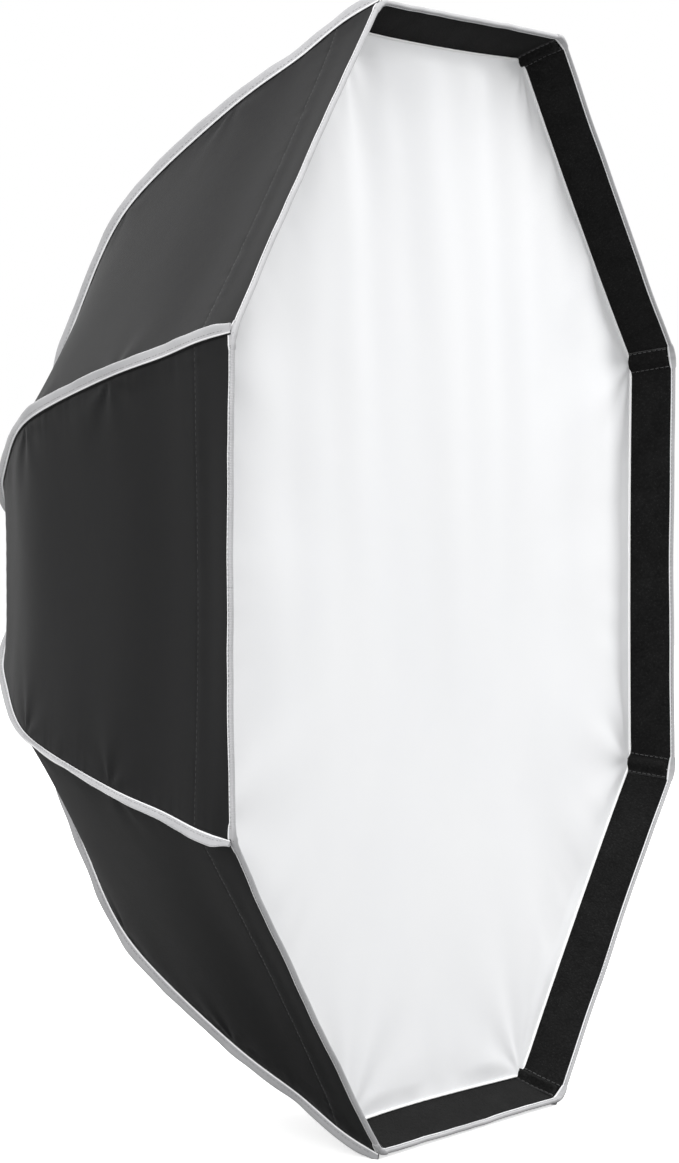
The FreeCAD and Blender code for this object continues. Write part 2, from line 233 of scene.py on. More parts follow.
# ------------------------------------------------------------- mesh making
def make_mesh(name, verts, faces, mats, mat_index=None, uv=None, normals=None):
    mesh = bpy.data.meshes.new(name)
    mesh.from_pydata([tuple(v) for v in np.asarray(verts, float)], [], [list(f) for f in faces])
    mesh.validate()
    for mat in mats:
        mesh.materials.append(mat)
    # validate() may drop faces, and then the indices no longer line up
    if mat_index is not None and len(mat_index) == len(mesh.polygons):
        mesh.polygons.foreach_set("material_index", np.asarray(mat_index, np.int32))
    mesh.polygons.foreach_set("use_smooth", [True] * len(mesh.polygons))
    if uv is not None:
        layer = mesh.uv_layers.new(name="UVMap")
        corners = np.zeros(len(mesh.loops), np.int32)
        mesh.loops.foreach_get("vertex_index", corners)
        layer.data.foreach_set("uv", np.asarray(uv, np.float32)[corners].ravel())
    if normals is not None:
        mesh.normals_split_custom_set_from_vertices([tuple(n) for n in normals])
    mesh.update()
    made = bpy.data.objects.new(name, mesh)
    bpy.context.scene.collection.objects.link(made)
    return made


class Build:
    """Collects several patches into one mesh."""

    def __init__(self):
        self.verts, self.faces, self.mats, self.uv, self.normals = [], [], [], [], []
        self.count = 0

    def add(self, verts, faces, mat=0, uv=None, normals=None):
        """mat is one slot for the whole patch or a list with a slot per face."""
        verts = np.asarray(verts, float).reshape(-1, 3)
        uv = np.zeros((len(verts), 2)) if uv is None else uv
        normals = np.zeros(verts.shape) if normals is None else normals
        self.verts.append(verts)
        self.uv.append(np.asarray(uv, float).reshape(-1, 2))
        self.normals.append(np.asarray(normals, float).reshape(-1, 3))
        self.faces += [[int(i) + self.count for i in face] for face in faces]
        self.mats += list(mat) if hasattr(mat, "__len__") else [mat] * len(faces)
        self.count += len(verts)

    def tube(self, rings, uv, mat=0, cap_mat=0, normals=None, cap_normal=None):
        """Closed rings of points joined in a row, with a separate face over each end."""
        rows, around = rings.shape[:2]
        faces = []
        for i in range(rows - 1):
            here, ahead = i * around, (i + 1) * around
            for j in range(around):
                after = (j + 1) % around
                faces.append((here + j, ahead + j, ahead + after, here + after))
        self.add(rings, faces, mat, uv, normals)
        cap = list(range(around))
        cap_normals = None if cap_normal is None else np.tile(cap_normal, (around, 1))
        self.add(rings[0], [cap], cap_mat, normals=cap_normals)
        self.add(rings[-1], [cap[::-1]], cap_mat, normals=cap_normals)

    def sheet(self, surface, us, vs, thick, uv_of, outer=0, inner=0, edge=0):
        """Closed thin sheet over surface(u, v); the outer side faces d/du x d/dv.

        outer, inner and edge are material slots; uv_of(u, v) gives the UV map.
        """
        u, v = np.meshgrid(us, vs, indexing="ij")
        step = 1e-4
        top = surface(u, v)
        normal = unit(np.cross(surface(u + step, v) - surface(u - step, v),
                               surface(u, v + step) - surface(u, v - step)))
        bottom = top - normal * thick
        rows, cols = top.shape[:2]
        below = rows * cols
        faces, mats = [], []
        for i in range(rows - 1):
            for j in range(cols - 1):
                a = i * cols + j
                b, c, d = a + cols, a + cols + 1, a + 1
                faces += [(a, b, c, d), (a + below, d + below, c + below, b + below)]
                mats += [outer, inner]
        ring = [i * cols for i in range(rows)]
        ring += [(rows - 1) * cols + j for j in range(1, cols)]
        ring += [i * cols + cols - 1 for i in range(rows - 2, -1, -1)]
        ring += list(range(cols - 2, 0, -1))
        for a, b in zip(ring, ring[1:] + ring[:1]):
            faces.append((a, a + below, b + below, b))
            mats.append(edge)
        verts = np.concatenate([top.reshape(-1, 3), bottom.reshape(-1, 3)])
        normals = np.concatenate([normal.reshape(-1, 3), -normal.reshape(-1, 3)])
        self.add(verts, faces, mats, np.concatenate([uv_of(u, v).reshape(-1, 2)] * 2), normals)

    def stitch(self, at, along, normal, size, mat=2):
        """One raised lozenge of thread; size is length, width, height."""
        axes = np.array([along, np.cross(normal, along), normal])
        verts = at + (STITCH_POINTS * size) @ axes
        self.add(verts, STITCH_FACES, mat, normals=np.tile(normal, (len(verts), 1)))

    def make(self, name, mats, custom_normals=False):
        normals = np.concatenate(self.normals) if custom_normals else None
        return make_mesh(name, np.concatenate(self.verts), self.faces, mats, self.mats,
                         np.concatenate(self.uv), normals)


# A stitch of unit size: a point, three rings of four and a point (along, across, up).
STITCH_POINTS = np.array(
    [(-0.5, 0.0, -0.3)]
    + [(along, across, up)
       for along, top in ((-0.32, 0.55), (0.0, 0.8), (0.32, 0.55))
       for across, up in ((0.5, -0.2), (0.3, top), (-0.3, top), (-0.5, -0.2))]
    + [(0.5, 0.0, -0.3)])
STITCH_FACES = [
    face[::-1] for face in
    [(0, 1 + j, 1 + (j + 1) % 4) for j in range(4)]
    + [(a + j, a + 4 + j, a + 4 + (j + 1) % 4, a + (j + 1) % 4) for a in (1, 5) for j in range(4)]
    + [(9 + j, 13, 9 + (j + 1) % 4) for j in range(4)]]

# Stitch length, width, height.
SHELL_STITCH = (0.0032, 0.0005, 0.00025)
TAPE_STITCH = (0.0027, 0.0005, 0.0003)
CORNER_STITCH = (0.0013, 0.00045, 0.0003)
POCKET_STITCH = (0.0032, 0.0006, 0.0004)
TAPE_PITCH = 0.0036                     # from stitch to stitch along the tapes


# ------------------------------------------------------------ material tools
def fill(tree, node, inputs):
    """Sets inputs of a node to values, or links them where an output is given."""
    for key, value in inputs.items():
        if isinstance(value, bpy.types.NodeSocket):
            tree.links.new(value, node.inputs[key])
        else:
            node.inputs[key].default_value = value


def add_node(tree, kind, inputs, **settings):
    node = tree.nodes.new(kind)
    for key, value in settings.items():
        setattr(node, key, value)
    fill(tree, node, inputs)
    return node


def new_material(name, values):
    """Material with Principled values; also returns its UV and object coordinates."""
    mat = bpy.data.materials.new(name)
    mat.use_nodes = True
    tree = mat.node_tree
    bsdf = tree.nodes["Principled BSDF"]
    fill(tree, bsdf, values)
    coords = add_node(tree, "ShaderNodeTexCoord", {})
    return mat, tree, bsdf, coords.outputs["UV"], coords.outputs["Object"]


def grey(level):
    return (level, level, level)


def ramp(tree, source, *stops):
    """Colour ramp through (position, colour) stops."""
    node = add_node(tree, "ShaderNodeValToRGB", {"Fac": source})
    elements = node.color_ramp.elements
    for element, (position, color) in ((elements[0], stops[0]), (elements[1], stops[-1])):
        element.position = position
        element.color = (*color, 1)
    for position, color in stops[1:-1]:
        elements.new(position).color = (*color, 1)
    return node.outputs["Color"]


def noise(tree, place, scale, detail=3.0, rough=0.5):
    return add_node(tree, "ShaderNodeTexNoise", {
        "Vector": place, "Scale": scale, "Detail": detail, "Roughness": rough}).outputs["Fac"]


def threads(tree, uv, direction, pitch, inputs):
    """Parallel threads as bands, one every pitch metres of the UV map."""
    node = add_node(tree, "ShaderNodeTexWave", {"Vector": uv, "Scale": 0.3142 / pitch, **inputs},
                    wave_type="BANDS", bands_direction=direction)
    return node.outputs["Fac"]


def multiply_colors(tree, factor, first, second):
    node = add_node(tree, "ShaderNodeMix", {"Factor": factor, "A": first, "B": second},
                    data_type="RGBA", blend_type="MULTIPLY")
    return node.outputs["Result"]


def math_node(tree, operation, inputs):
    return add_node(tree, "ShaderNodeMath", inputs, operation=operation).outputs[0]


def spread(tree, value, low, high):
    return add_node(tree, "ShaderNodeMapRange", {
        "Value": value, "To Min": low, "To Max": high}).outputs["Result"]


def bump(tree, height, strength, distance, over=None):
    inputs = {"Strength": strength, "Distance": distance, "Height": height}
    if over is not None:
        inputs["Normal"] = over
    return add_node(tree, "ShaderNodeBump", inputs).outputs["Normal"]


# ---------------------------------------------------------- material recipes
def cloth(name, dark, light, *, rough, sheen, pitch, weave_bump, ripple, spec, metal=0.0):
    """Plain weave with a thread every pitch metres and soft ripples."""
    mat, tree, bsdf, uv, place = new_material(name, {
        "Roughness": rough, "Sheen Weight": sheen, "Sheen Roughness": 0.45,
        "Specular IOR Level": spec, "Metallic": metal})
    uneven = {"Distortion": 0.6, "Detail": 1.0, "Detail Scale": 0.02}
    weave = math_node(tree, "MAXIMUM", {
        0: threads(tree, uv, "X", pitch, uneven), 1: threads(tree, uv, "Y", pitch, uneven)})
    broad = noise(tree, place, scale=7.0, detail=4.0, rough=0.55)
    fine = noise(tree, place, scale=900.0, detail=2.0)
    mottle = math_node(tree, "MULTIPLY_ADD", {0: fine, 1: 0.35, 2: broad})
    color = ramp(tree, mottle, (0.3, dark), (0.95, light))
    shade = ramp(tree, weave, (0.35, grey(0.55)), (0.9, grey(1)))
    ripples = bump(tree, noise(tree, place, scale=60.0), strength=ripple, distance=0.0012)
    fill(tree, bsdf, {
        "Base Color": multiply_colors(tree, 0.35, color, shade),
        "Roughness": spread(tree, broad, low=rough - 0.06, high=rough + 0.08),
        "Normal": bump(tree, weave, strength=weave_bump, distance=0.00018, over=ripples)})
    return mat


def ribbed_tape(name, dark, light):
    mat, tree, bsdf, uv, place = new_material(name, {
        "Roughness": 0.72, "Sheen Weight": 0.25, "Sheen Roughness": 0.4,
        "Specular IOR Level": 0.25})
    ribs = threads(tree, uv, "Y", 0.0011, {"Distortion": 0.4})
    warp = threads(tree, uv, "X", 0.0007, {"Distortion": 0.4})
    mottle = noise(tree, place, scale=22.0, detail=4.0, rough=0.6)
    color = ramp(tree, mottle, (0.3, dark), (0.7, light))
    shade = ramp(tree, ribs, (0.2, (0.62, 0.62, 0.63)), (0.8, grey(1)))
    raised = bump(tree, ribs, strength=0.5, distance=0.0003)
    fill(tree, bsdf, {
        "Base Color": multiply_colors(tree, 0.4, color, shade),
        "Normal": bump(tree, warp, strength=0.2, distance=0.00015, over=raised)})
    return mat


def loop_pile(name):
    mat, tree, bsdf, _, place = new_material(name, {
        "Roughness": 0.95, "Sheen Weight": 0.02, "Sheen Roughness": 0.6,
        "Specular IOR Level": 0.03})
    loops = add_node(tree, "ShaderNodeTexVoronoi", {
        "Vector": place, "Scale": 520.0}).outputs["Distance"]
    specks = ramp(tree, loops, (0.0, grey(0.060)), (0.18, grey(0.0150)), (1.0, grey(0.0088)))
    mottle = noise(tree, place, scale=40.0, detail=5.0, rough=0.7)
    shade = ramp(tree, mottle, (0.3, grey(0.55)), (0.75, grey(1.0)))
    fuzz = noise(tree, place, scale=1400.0, rough=0.7)
    raised = bump(tree, loops, strength=0.9, distance=0.0008)
    fill(tree, bsdf, {
        "Base Color": multiply_colors(tree, 1.0, specks, shade),
        "Normal": bump(tree, fuzz, strength=0.8, distance=0.0005, over=raised)})
    return mat


def thread(name, color):
    mat, tree, bsdf, _, place = new_material(name, {
        "Roughness": 0.6, "Sheen Weight": 0.3, "Specular IOR Level": 0.3})
    twist = noise(tree, place, scale=2500.0, detail=2.0)
    dark = tuple(0.75 * channel for channel in color)
    fill(tree, bsdf, {
        "Base Color": ramp(tree, twist, (0.3, dark), (0.7, color)),
        "Normal": bump(tree, twist, strength=0.5, distance=0.0001)})
    return mat


def hard(name, base, dark, *, rough, metal=0.0, spec=0.5, grain=None, wear=None):
    """Plastic or metal. grain is the bump's scale and strength; without it the surface
    is brushed. wear is the colour of rubbed edges."""
    mat, tree, bsdf, _, place = new_material(name, {
        "Roughness": rough, "Metallic": metal, "Specular IOR Level": spec})
    mottle = noise(tree, place, scale=30.0, detail=4.0, rough=0.6)
    color = ramp(tree, mottle, (0.35, dark), (0.7, base))
    if wear is not None:
        geometry = add_node(tree, "ShaderNodeNewGeometry", {})
        edges = ramp(tree, geometry.outputs["Pointiness"], (0.53, grey(0)), (0.60, grey(1)))
        patches = ramp(tree, noise(tree, place, scale=180.0, detail=4.0, rough=0.65),
                       (0.45, grey(0)), (0.62, grey(1)))
        rubbed = math_node(tree, "MULTIPLY", {0: edges, 1: patches})
        color = add_node(tree, "ShaderNodeMix", {"Factor": rubbed, "A": color, "B": (*wear, 1)},
                         data_type="RGBA").outputs["Result"]
    if grain is None:
        stretched = add_node(tree, "ShaderNodeMapping", {
            "Vector": place, "Scale": (40, 1400, 40)}).outputs["Vector"]
        normal = bump(tree, noise(tree, stretched, scale=1.0), strength=0.25, distance=0.0001)
    else:
        scale, strength = grain
        grains = noise(tree, place, scale=scale, detail=2.0, rough=0.6)
        normal = bump(tree, grains, strength=strength, distance=0.00015)
    smudges = noise(tree, place, scale=90.0, detail=4.0, rough=0.7)
    fill(tree, bsdf, {
        "Base Color": color,
        "Roughness": spread(tree, smudges, low=rough - 0.1, high=rough + 0.12),
        "Normal": normal})
    return mat


NYLON = cloth("black_nylon_shell", (0.0052, 0.0052, 0.0055), (0.0084, 0.0084, 0.0089),
              rough=0.52, sheen=0.012, pitch=0.0006, weave_bump=0.22, ripple=0.12, spec=0.17)
SILVER = cloth("silver_lining", (0.60, 0.60, 0.61), (0.74, 0.74, 0.75), rough=0.42, sheen=0.0,
               pitch=0.0008, weave_bump=0.2, ripple=0.35, spec=0.5, metal=0.65)
WHITE = cloth("white_diffusion_cloth", (0.86, 0.868, 0.885), (0.90, 0.905, 0.915),
              rough=0.85, sheen=0.05, pitch=0.0005, weave_bump=0.10, ripple=0.10, spec=0.2)
BAFFLE = cloth("white_inner_baffle", (0.82, 0.83, 0.85), (0.9, 0.9, 0.91),
               rough=0.85, sheen=0.05, pitch=0.0005, weave_bump=0.2, ripple=0.3, spec=0.2)
HEM = cloth("white_hem_tape", (0.93, 0.93, 0.935), (0.96, 0.96, 0.96),
            rough=0.8, sheen=0.08, pitch=0.0009, weave_bump=0.4, ripple=0.15, spec=0.2)
TAPE = ribbed_tape("grey_grosgrain_binding", (0.42, 0.42, 0.43), (0.50, 0.50, 0.51))
# Pale strips on the binding tapes' edges and folds: painted highlight for the light that the
# edges catch.
TAPE_PAINTED_HIGHLIGHT = ribbed_tape("binding_painted_edge_highlight", (0.86, 0.86, 0.87), (0.93, 0.93, 0.935))
LOOP = loop_pile("black_loop_pile")
# Thread colours; no piece is sewn with the pale grey or the white.
THREADS = {name: thread(name, color) for name, color in (
    ("pale_grey_thread", (0.55, 0.55, 0.56)),
    ("mid_grey_thread", (0.22, 0.22, 0.225)),
    ("black_thread", (0.012, 0.012, 0.013)),
    ("charcoal_thread", (0.07, 0.07, 0.072)),
    ("charcoal_folded_edge", (0.030, 0.030, 0.031)),
    ("white_thread", (0.62, 0.62, 0.64)),
)}
GREY_THREAD = THREADS["mid_grey_thread"]
PLASTIC = hard("black_glass_filled_nylon", (0.026, 0.026, 0.027), (0.018, 0.018, 0.019),
               rough=0.48, spec=0.45, grain=(1300, 0.35), wear=(0.08, 0.08, 0.08))
BLACK_METAL = hard("black_powder_coat", (0.022, 0.022, 0.023), (0.014, 0.014, 0.015),
                   rough=0.42, grain=(1700, 0.4), wear=(0.30, 0.30, 0.31))
STEEL = hard("spring_steel", (0.50, 0.50, 0.51), (0.36, 0.36, 0.37), rough=0.3, metal=1.0)
ALUMINIUM = hard("satin_cast_aluminium", (0.62, 0.62, 0.63), (0.50, 0.50, 0.51),
                 rough=0.36, metal=1.0, grain=(1500, 0.25), wear=(0.8, 0.8, 0.8))
RED = hard("red_moulded_button", (0.45, 0.035, 0.025), (0.34, 0.02, 0.015),
           rough=0.4, grain=(1100, 0.2), wear=(0.5, 0.12, 0.1))


# ------------------------------------------------------------- shell surface
def swell(turn, run, across, x):
    """Outward swell of the cloth of a gore, in metres."""
    half_width = x * TAN
    z = across * half_width
    from_seam = (1 - np.abs(across)) * half_width
    off_fold = smooth(np.abs(across), 0.0, 0.45)
    key = turn * 0.37 + np.sign(across + 1e-9) * 0.11       # sets the half gores apart
    along_seam = stack(run, key, from_seam * 0.25)

    # the cloth sinks between ribs behind the diffuser and bellies out in front of it
    crown = (1 - across ** 2) * (-0.0032 * smooth(run, 0.02, 0.20)
                                 + 0.0042 * smooth(run, DIFFUSER_RUN + 0.004, SEAM_LENGTH))
    # fine gathers close to the seam, then broader ones
    gathers = (0.00035 * np.exp(-from_seam / 0.010) * smooth(from_seam, 0.0, 0.003)
               * wobble(along_seam, seed=11, low=45, high=120, count=18))
    gathers += (0.0009 * np.exp(-from_seam / 0.045) * smooth(from_seam, 0.0, 0.02)
                * wobble(along_seam, seed=12, low=9, high=24, count=12))
    # creases fanning out from the ties
    for tie, height in TIES:
        distance = np.hypot(run - tie, from_seam * 0.8)
        angle = np.arctan2(run - tie, from_seam + 1e-6)
        gathers = gathers + (height * bell(distance, 0.034) * np.sin(angle * 5 + key * 7)
                             * smooth(from_seam, 0.0, 0.012))
    billow = (0.0007 * wobble(world(x, run, z, turn), seed=13, low=2.2, high=6.0, count=12)
              * smooth(from_seam, 0, 0.03) * smooth(SEAM_LENGTH - run, 0.0, 0.05))
    hub_pleats = (0.0009 * np.exp(-run / 0.035) * np.sin(z * 2 * math.pi / 0.011 + turn)
                  * smooth(from_seam, 0, 0.004) * smooth(run, -0.002, 0.008))
    # groove and puckers along the stitch line
    groove = -0.00022 * bell(run - STITCH_RUN, 0.0022)
    pulls = (0.00018 * bell(run - STITCH_RUN, 0.007)
             * wobble(stack(z, turn, 0), seed=14, low=60, high=140, count=14))
    return crown + off_fold * gathers + billow + hub_pleats + groove + pulls


def gore_surface(turn, lift=0.0):
    """Surface (across, run) of the gore at turn, moved out by lift."""
    def surface(across, run):
        # the free edge bows back a little between the corners
        front_share = (run - DIFFUSER_RUN) / (SEAM_LENGTH - DIFFUSER_RUN)
        bow = 0.0013 * (1 - across ** 2) * np.maximum(front_share, 0)
        point, direction = profile(run - bow)
        x, depth = point[..., 0] * COS, point[..., 1]
        out_x, out_depth = direction[..., 1], -direction[..., 0] * COS
        raised = (swell(turn, run, across, x) + lift) / np.hypot(out_x, out_depth)
        return world(x + out_x * raised, depth + out_depth * raised, across * x * TAN, turn)
    return surface


def gore_frame(turn, run, across):
    """Points, normals out, directions towards the rim and directions across."""
    surface = gore_surface(turn)
    step = 2e-4
    forward = unit(surface(across, run + step) - surface(across, run - step))
    sideways = unit(surface(across + step, run) - surface(across - step, run))
    return surface(across, run), unit(np.cross(sideways, forward)), forward, sideways


def gore_uv(turn):
    def uv_of(across, run):
        return stack(across * profile(run)[0][..., 0] * SIN + turn * 0.01, run)
    return uv_of


def bend_piece(piece, gore, side):
    """Bakes the piece's transform into its mesh and reads back its vertices; the piece is not
    bent.
    """
    turn = 45.0 * gore
    radius, depth = profile(0.3)[0]
    start = world(radius, depth, 0.0, turn + 22.5 * SIGN[side])
    end = world(radius * COS, depth, 0.0, turn)
    tuple(start)
    tuple(end)
    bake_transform(piece)
    flat = np.zeros(len(piece.data.vertices) * 3, np.float32)
    piece.data.vertices.foreach_get("co", flat)


def half_grid(side, shares):
    """Shares 0..1 from the centre fold as rising across values of one side."""
    return -shares[::-1] if side == "a" else shares


def gore_grid(side):
    return half_grid(side, 1 - (1 - np.linspace(0, 1, steps(27))) ** 1.6)


# -------------------------------------------------------------- shell pieces
GORE_RUNS = np.concatenate([
    np.linspace(0, STITCH_RUN - 0.006, steps(132)),
    np.linspace(STITCH_RUN - 0.0045, STITCH_RUN + 0.0045, 7),
    np.linspace(STITCH_RUN + 0.006, SEAM_LENGTH, 12)])


def shell_gore(gore, side, turn):
    """Half a gore with the stitch line that holds the rear edge of the loop band."""
    build = Build()
    build.sheet(gore_surface(turn), gore_grid(side), GORE_RUNS, 0.0008, gore_uv(turn), inner=1)
    half = (RIM_RADIUS - 0.012) * SIN
    count = int(half / 0.0042)
    spots = (np.arange(count) + 0.5) * half / count * 0.985
    across = SIGN[side] * spots / (profile(STITCH_RUN)[0][0] * SIN)
    points, normals, _, sideways = gore_frame(turn, STITCH_RUN, across)
    for k in range(count):
        build.stitch(points[k], sideways[k], normals[k], SHELL_STITCH)
    piece = build.make("shell_gore_%d%s" % (gore, side),
                       [NYLON, SILVER, THREADS["black_thread"]], custom_normals=True)
    bend_piece(piece, gore, side)
    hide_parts("panel_%d%s" % (gore, side))


def loop_band(gore, side, turn):
    """Pile band inside the lip, from the stitch line to the rim."""
    build = Build()
    build.sheet(gore_surface(turn, lift=-0.0009), gore_grid(side)[::steps(2)] * 0.994,
                np.linspace(STITCH_RUN + 0.001, SEAM_LENGTH - 0.0005, 12),
                CLOTH_SHEET, gore_uv(turn))
    piece = build.make("loop_band_%d%s" % (gore, side), [LOOP], custom_normals=True)
    bend_piece(piece, gore, side)


for half_gore in HALF_GORES:
    shell_gore(*half_gore)
for half_gore in HALF_GORES:
    loop_band(*half_gore)


# ------------------------------------------------------------ rim binding
def rim_section():
    """Folded tape round the rim edge: (towards the rim, out)."""
    back, thick, inside = -0.0029, 0.0010, -0.0012
    outer = [(back, 0.0002), (back, thick * 0.8), (back + 0.0003, thick * 1.15),
             (back + 0.0010, thick * 1.1), (back * 0.45, thick * 0.86),
             (back * 0.2, thick), (0.0, thick * 1.05)]
    nose = [(0.0009 * math.cos(a), -0.0006 + 0.0016 * math.sin(a))
            for a in np.radians(np.linspace(70, -70, 7))]
    inner = [(0.0, inside - thick * 0.95), (back * 0.2, inside - thick),
             (back * 0.45, inside - thick * 0.86), (back + 0.0010, inside - thick * 0.95),
             (back + 0.0002, inside - thick), (back, -0.0016)]
    return np.array(outer + nose + inner)


RIM_SECTION = rim_section()
RIM_PAINTED_HIGHLIGHT_FACES = [0, 1, 2, 17, 18, 19]        # section faces with the painted highlight on the tape's rear edge
# Slot 1 is the painted highlight on the tape's rear edge.
TAPE_MATS = [TAPE, TAPE_PAINTED_HIGHLIGHT, GREY_THREAD]


def tape_slots(rows, section, pale):
    """Material slot of each face along a tape: 1 on the strips of painted highlight, 0 elsewhere.
    """
    slots = np.zeros((rows - 1, len(section)), int)
    slots[:, pale] = 1
    return list(slots.ravel())


def rim_wobble(turn, across, **noise_settings):
    place = stack(across * RIM_HALF_SIDE, turn * 0.31, 0)
    return 0.0004 * wobble(place, **noise_settings) * smooth(1 - np.abs(across), 0, 0.08)


def rim_binding(gore, side, turn):
    lift_noise = dict(seed=21, low=8, high=40, count=14)
    push_noise = dict(seed=22, low=6, high=22, count=12)
    shares = np.concatenate([[-0.0012], np.linspace(0.0012, CORNER_START, steps(90))])
    across = half_grid(side, shares)
    points, normals, forward, _ = gore_frame(turn, SEAM_LENGTH, across)
    push = rim_wobble(turn, across, **push_noise)[:, None]
    lift = rim_wobble(turn, across, **lift_noise)[:, None]
    rings = (points[:, None, :]
             + forward[:, None, :] * (RIM_SECTION[:, 0] + push)[..., None]
             + normals[:, None, :] * (RIM_SECTION[:, 1] + lift)[..., None])
    build = Build()
    build.tube(rings, stack(arc_lengths(RIM_SECTION)[None, :], (across * RIM_HALF_SIDE)[:, None]),
               tape_slots(len(across), RIM_SECTION, RIM_PAINTED_HIGHLIGHT_FACES))
    # a row of stitches on the outer and on the inner face
    count = int(0.17 / TAPE_PITCH)
    spots = (np.arange(count) + 0.5) / count * (CORNER_START - 0.01) * SIGN[side]
    points, normals, forward, sideways = gore_frame(turn, SEAM_LENGTH, spots)
    lift = rim_wobble(turn, spots, **lift_noise)
    for k in range(count):
        line = points[k] - forward[k] * 0.0016
        build.stitch(line + normals[k] * (0.00092 + lift[k]), sideways[k], normals[k],
                     TAPE_STITCH)
        build.stitch(line - normals[k] * (0.0021 - lift[k]), sideways[k], -normals[k],
                     TAPE_STITCH)
    piece = build.make("rim_binding_%d%s" % (gore, side), TAPE_MATS)
    bend_piece(piece, gore, side)


def rim_corner(rib):
    """Rim tape turned round the corner at a rib, from the gore before to the one after."""
    before = (rib - 1) or 8
    near = np.array([CORNER_START - 0.012, CORNER_START + 0.012, 0.999])
    start, start_normal, start_forward, _ = gore_frame(45.0 * before, SEAM_LENGTH, near)
    end, end_normal, end_forward, _ = gore_frame(45.0 * rib, SEAM_LENGTH, -near)
    rows = 19
    share = np.linspace(0, 1, rows)[:, None]
    corner = 0.5 * (start[2] + end[2]) - 0.0016 * unit(start_forward[2] + end_forward[2])
    path = ((1 - share) ** 3 * start[0]
            + 3 * (1 - share) ** 2 * share * (0.35 * start[1] + 0.65 * corner)
            + 3 * (1 - share) * share ** 2 * (0.35 * end[1] + 0.65 * corner)
            + share ** 3 * end[0])
    ease = smooth(share, 0.2, 0.8)
    normal = unit((1 - ease) * start_normal[0] + ease * end_normal[0])
    forward = (1 - ease) * start_forward[0] + ease * end_forward[0]
    forward = unit(forward - normal * (forward * normal).sum(1, keepdims=True))
    # the section grows towards the middle of the wrap
    middle = np.array([-0.0012, -0.0006])
    fullness = (np.sin(math.pi * share) ** 0.5)[:, :, None]
    growth = np.concatenate([1.08 + 0.55 * fullness, 1.06 + 0.12 * fullness], -1)
    section = middle + (RIM_SECTION - middle)[None] * growth
    place = stack(share[:, 0] * 0.05, rib * 0.9, 0)
    puff = (0.0002 * wobble(place, seed=23, low=15, high=60, count=10)
            + 0.0004 * bell(share[:, 0] - 0.5, 0.12))[:, None, None] * fullness
    out = section[..., 1, None]
    rings = (path[:, None, :] + forward[:, None, :] * section[..., 0, None]
             + normal[:, None, :] * (out + puff * np.sign(out + 0.0006)))
    build = Build()
    build.tube(rings, stack(arc_lengths(section[0])[None, :], share * 0.04),
               tape_slots(rows, RIM_SECTION, RIM_PAINTED_HIGHLIGHT_FACES))
    for j in (1, 2, rows - 3, rows - 2):
        for inset in (0.0008, 0.0022):
            at = path[j] - forward[j] * inset + normal[j] * (0.00115 + puff[j, 0, 0])
            build.stitch(at, forward[j], normal[j], CORNER_STITCH)
    piece = build.make("rim_corner_%d" % rib, TAPE_MATS)
    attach(piece, "rib_%d" % rib)


for half_gore in HALF_GORES:
    rim_binding(*half_gore)
for rib, _ in RIBS:
    rim_corner(rib)

# --------------------------------------------------- seam bindings on the ribs
# Per rib: lean of the tape in degrees at five even stations from hub to rim, and its wander.
LEAN = {
    1: ([30, 45, 55, 60, 64], 8), 2: ([-30, -50, -55, -60, -62], 8),
    3: ([-24, -36, -38, -40, -44], 5), 4: ([-30, -58, -64, -66, -68], 4),
    5: ([30, 18, 0, 28, 50], 10), 6: ([24, 36, 38, 40, 44], 5),
    7: ([-30, -45, -52, -58, -60], 8), 8: ([30, 48, 52, 58, 62], 8),
}
# Height factor at the same stations, where it isn't 1.
TALL = {4: [0.95, 0.92, 0.92, 0.92, 0.95], 5: [0.85, 0.58, 0.46, 0.60, 0.92],
        6: [1.3, 1.2, 1.05, 1.0, 1.0]}
STATIONS = np.linspace(0.02, SEAM_LENGTH - 0.02, 5)
SEAM_TAPE_HEIGHT = 0.0090
SECTION_HEIGHT = 0.0086                 # height the section below is scaled from
# Seam tape section faces with the painted highlight: both edges at the seam and the top of the
# fold.
SEAM_PAINTED_HIGHLIGHT_FACES = [0, 1, 6, 7, 8, 13, 14, 15]


def seam_tape_section():
    """Tape folded over the seam allowance: (up from the seam, to the side)."""
    thick = 0.00095
    flank = [(0.0002, thick * 0.5), (0.0004, thick * 0.95), (0.0014, thick),
             (0.0032, thick * 0.72), (0.0050, thick * 1.05), (0.0072, thick * 0.95)]
    fold = [(0.0083 + 0.0006 * math.cos(a), 0.0009 * math.sin(a))
            for a in np.radians([60, 20, -20, -60])]
    return np.array(flank + fold + [(up, -out) for up, out in flank[::-1]])


SEAM_SECTION = seam_tape_section()
# The black seam allowance inside the tape, in the same axes.
ALLOWANCE = np.array([(-0.0012, 0.0007), (0.0016, 0.0004), (0.0030, 0.0003),
                      (0.0030, -0.0003), (0.0016, -0.0004), (-0.0012, -0.0007)])


